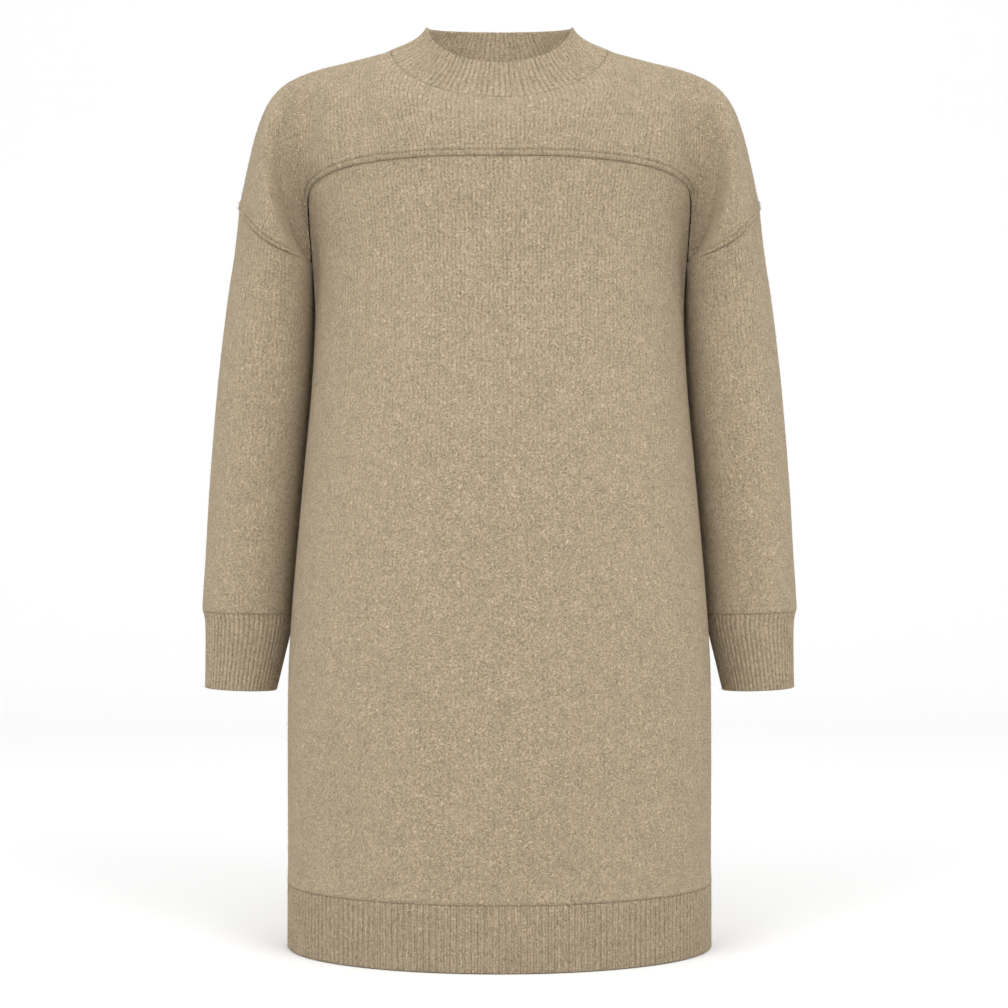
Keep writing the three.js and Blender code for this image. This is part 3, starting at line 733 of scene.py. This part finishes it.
def make_collar(name):
    """The collar's ring. Its inside keeps every column, and takes half of the ribs' height."""
    turn = np.linspace(0, 2 * np.pi, COLLAR_RIBS * RIB_COLUMNS, endpoint=False)
    turn, part = np.meshgrid(turn, ring_parts(COLLAR_ROWS, COLLAR_HEIGHT))
    grid = collar_point(turn, part)
    rib = rib_height(turn, COLLAR_RIBS, COLLAR_PITCH, part * COLLAR_HEIGHT)
    roll = rolled((1 - part) * COLLAR_HEIGHT)
    return cloth(name, grid, rib - roll, RIB_CLOTH + rib / 2 - roll, closed=True, keep=(1, 1),
                 fuzz=COLLAR_FUZZ, reach=RIB_REACH, wales=COLLAR_RIBS)


hem = make_hem("hem_ribs")
collar = make_collar("collar_ribs")

# %% [markdown]
# The brushed knit's finish
#
# Brushed wool looks soft because its fibres scatter light: almost no gloss, a pale sheen at grazing angles,
# and a mottled colour where lighter and darker fibres were blended. The stitches show only faintly through
# the nap, and the colour carries painted shade in the grooves between them and painted light on their
# crowns. The pattern reads the cloth's own flat coordinates, so it runs along each piece's grain.


# %% Make the materials
COURSE_PITCH = 0.0036
SHEEN_TINT = (0.8, 0.68, 0.5, 1)


def shade(name, colour, wale_shade_strength, knit_depth, nap_depth, fade):
    """A brushed knit. colour is its mean, and the strength after it says how much shade is painted into the
    grooves between wales and the dips between stitches, and how much light onto their crowns.
    fade gives two heights, and how far the stitches show below the lower one."""
    material = bpy.data.materials.new(name)
    material.use_nodes = True
    nodes, links = material.node_tree.nodes, material.node_tree.links
    nodes.clear()

    def add(kind, values=(), **settings):
        """A node with its sockets filled, each from a number or from another node."""
        node = nodes.new(kind)
        for key, value in settings.items():
            setattr(node, key, value)
        for socket, value in values:
            if isinstance(value, bpy.types.NodeSocket):
                links.new(value, node.inputs[socket])
            else:
                node.inputs[socket].default_value = value
        return node

    def sums(operation, *values):
        """One step of arithmetic."""
        return add("ShaderNodeMath", list(enumerate(values)), operation=operation).outputs[0]

    def remap(value, low, high, to_low, to_high):
        """The range low to high stretched to the range to_low to to_high."""
        ends = [("Value", value), ("From Min", low), ("From Max", high)]
        ends += [("To Min", to_low), ("To Max", to_high)]
        return add("ShaderNodeMapRange", ends, clamp=True).outputs[0]

    place = add("ShaderNodeTexCoord").outputs["Object"]

    def noise(scale, detail, shift=0.0, distortion=0.0):
        """Soft noise over the piece, moved by shift so that no two are alike."""
        shifted = [(0, place), (1, (shift, shift, shift))]
        moved = add("ShaderNodeVectorMath", shifted, operation="ADD").outputs[0]
        ends = [("Vector", moved), ("Scale", scale), ("Detail", detail), ("Distortion", distortion)]
        return add("ShaderNodeTexNoise", ends).outputs["Fac"]

    def strands(scale, width, shift):
        """Thin wandering lines, where a noise passes through its middle value."""
        off_middle = sums("ABSOLUTE", sums("SUBTRACT", noise(scale, 1.0, shift, 0.8), 0.5))
        return remap(off_middle, 0.0, width, 1.0, 0.0)

    flat = add("ShaderNodeSeparateXYZ", [(0, add("ShaderNodeUVMap", uv_map="cloth").outputs[0])])
    wobble = sums("MULTIPLY", sums("SUBTRACT", noise(55, 2, 4.0), 0.5), 1.3)
    wale = sums("ADD", sums("MULTIPLY", flat.outputs[0], 1 / WALE_PITCH), wobble)
    half = sums("ABSOLUTE", sums("SUBTRACT", sums("FRACT", wale), 0.5))
    course = sums("ADD", sums("MULTIPLY", flat.outputs[1], 1 / COURSE_PITCH), sums("MULTIPLY", half, 1.6))
    stitch = sums("ABSOLUTE", sums("SINE", sums("MULTIPLY", course, np.pi)))
    crown = sums("SUBTRACT", 1.0, sums("POWER", sums("MULTIPLY", half, 2.0), 3.0))
    knit = sums("MULTIPLY", sums("ADD", sums("MULTIPLY", stitch, 0.4), 0.6), crown)
    level = add("ShaderNodeSeparateXYZ", [(0, place)]).outputs[2]
    uneven_level = sums("ADD", level, sums("MULTIPLY", noise(18, 2, 3.0), 0.12))
    shows = remap(uneven_level, *fade, 1.0)
    light_strands = sums("MAXIMUM", strands(270, 0.05, 0.0), strands(370, 0.05, 1.7))
    dark_strands = sums("MAXIMUM", strands(310, 0.045, 5.1), strands(240, 0.035, 7.3))
    fleck = remap(noise(700, 2, 9.0), 0.38, 0.62, -0.5, 0.5)
    patch = remap(noise(60, 3, 2.0), 0.35, 0.65, -0.5, 0.5)
    tone = sums("ADD", sums("MULTIPLY", light_strands, 0.42), sums("MULTIPLY", dark_strands, -0.34))
    tone = sums("ADD", tone, sums("ADD", sums("MULTIPLY", fleck, 0.36), sums("MULTIPLY", patch, 0.08)))
    # Painted shade and light: the colour is darkened in the grooves between wales and between stitches, and
    # lightened on their crowns, as far as the stitches show.
    groove = sums("MULTIPLY", sums("MULTIPLY", sums("SUBTRACT", knit, 0.75), shows), wale_shade_strength)
    tone = sums("ADD", sums("ADD", tone, groove), 0.985)
    tinted = add("ShaderNodeVectorMath", [(0, colour), ("Scale", tone)], operation="SCALE").outputs[0]
    height = sums("MULTIPLY", sums("MULTIPLY", knit, shows), knit_depth)
    nap = sums("ADD", light_strands, sums("ADD", fleck, sums("MULTIPLY", dark_strands, -0.6)))
    height = sums("ADD", height, sums("MULTIPLY", nap, nap_depth))
    bump = add("ShaderNodeBump", [("Strength", 1.0), ("Distance", 0.001), ("Height", height)])
    surface = add("ShaderNodeBsdfPrincipled", [("Base Color", tinted), ("Normal", bump.outputs[0]),
                                               ("Roughness", 0.95), ("Specular IOR Level", 0.12),
                                               ("Sheen Weight", 0.45), ("Sheen Roughness", 0.4),
                                               ("Sheen Tint", SHEEN_TINT)])
    output = add("ShaderNodeOutputMaterial")
    links.new(surface.outputs[0], output.inputs[0])
    return material


brushed = shade("brushed_knit", (0.395, 0.314, 0.213), 0.3, 0.55, 0.5, (-0.42, -0.10, 0.3))
ribbed = shade("rib_knit", (0.395, 0.313, 0.212), 0.36, 0.5, 0.5, (-1.2, -1.1, 1.0))
print("materials:", brushed.name, "and", ribbed.name)

# %% [markdown]
# Telling the frame what each piece is
#
# Every piece rides on the dress's one body and stands for the plain wall of the same place. As each is a
# sheet of cloth, the table also lists its flat cut: the width and length it is cut to, and its area where the
# cut isn't a rectangle, though nothing below reads these.

CUTS = {
    front: ("front_panel", "brushed_knit", 0.60, 0.72, 0.385),
    back: ("back_panel", "brushed_knit", 0.58, 0.72, 0.372),
    front_yoke: ("front_yoke", "brushed_knit", 0.70, 0.25, 0.09),
    back_yoke: ("back_yoke", "brushed_knit", 0.72, 0.27, 0.10),
    sleeves[0]: ("sleeve_left", "brushed_knit", 0.37, 0.42, 0.119),
    sleeves[1]: ("sleeve_right", "brushed_knit", 0.37, 0.42, 0.119),
    cuffs[0]: ("cuff_left", "rib_knit", 0.27, 0.08, None),
    cuffs[1]: ("cuff_right", "rib_knit", 0.27, 0.08, None),
    hem: ("hem_rib", "rib_knit", 1.18, 0.065, None),
    collar: ("collar", "rib_knit", 0.59, 0.042, None),
}
for piece, (node, slot, width, length, area) in CUTS.items():
    piece.data.materials.append(brushed if slot == "brushed_knit" else ribbed)
    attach(piece, "root")
    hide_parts(node)
print("declared", len(CUTS), "pieces")

# %% [markdown]
# Floor and light
#
# A white floor just under the hem curves up behind the dress, and a bright even sky leaves it white. Two
# broad lamps in front give the cloth its form. A small lamp inside the neck, hidden from the camera, lights
# the back of the collar, which would otherwise lie in the shade of its front.

# %% Make the studio
FLOOR_GAP = 0.0006
SWEEP = dict(half_width=6.0, front=-3.5, turn=2.5, radius=1.5, top=5.0)


def make_floor(name):
    """A profile that runs back along the floor, round a quarter circle and up, drawn out sideways."""
    level = HEM_BOTTOM * MM - FLOOR_GAP
    turn = np.linspace(0, np.pi / 2, 24)
    back = SWEEP["turn"] + SWEEP["radius"] * np.sin(turn)
    high = level + SWEEP["radius"] * (1 - np.cos(turn))
    back = np.concatenate([[SWEEP["front"]], back, [back[-1]]])
    high = np.concatenate([[level], high, [SWEEP["top"]]])
    side = np.array([-SWEEP["half_width"], SWEEP["half_width"]])
    grid = stack(side[None, :], back[:, None], high[:, None]) / MM
    uv = np.stack([grid[..., 0].ravel(), grid[..., 1].ravel()], axis=-1) * MM
    return make_mesh(name, grid.reshape(-1, 3), [sheet_faces(len(grid), 2, False, 0, False)], uv)


floor = make_floor("floor")
paper = bpy.data.materials.new("paper")
paper.use_nodes = True
PAPER = {"Base Color": (0.84, 0.84, 0.84, 1), "Roughness": 1.0, "Specular IOR Level": 0.0}
for socket_name, setting in PAPER.items():
    paper.node_tree.nodes["Principled BSDF"].inputs[socket_name].default_value = setting
floor.data.materials.append(paper)

world = bpy.data.worlds.new("studio")
world.use_nodes = True
sky = world.node_tree.nodes["Background"].inputs
sky["Color"].default_value = (1, 1, 1, 1)
sky["Strength"].default_value = 1.06
scene.world = world
scene.view_settings.view_transform = "Standard"


def add_lamp(name, place, size, power, aim):
    """A square lamp at place that looks at aim, both in metres."""
    data = bpy.data.lights.new(name, "AREA")
    data.size, data.energy = size, power
    lamp = bpy.data.objects.new(name, data)
    ahead = np.array(aim) - np.array(place)
    lamp.location = place
    tilt = np.arctan2(np.hypot(ahead[0], ahead[1]), -ahead[2])
    lamp.rotation_euler = (tilt, 0, np.arctan2(-ahead[0], ahead[1]))
    scene.collection.objects.link(lamp)
    return lamp


add_lamp("right_key", (1.5, -2.1, 1.6), 1.8, 42, aim=(0, 0, -0.1))
add_lamp("left_key", (-1.5, -2.1, 1.6), 1.8, 39, aim=(0, 0, -0.1))
neck_light = add_lamp("neck_light", (0, -0.03, -0.1), 0.1, 0.14, aim=(0, 0.05, 0.03))
neck_light.visible_camera = False
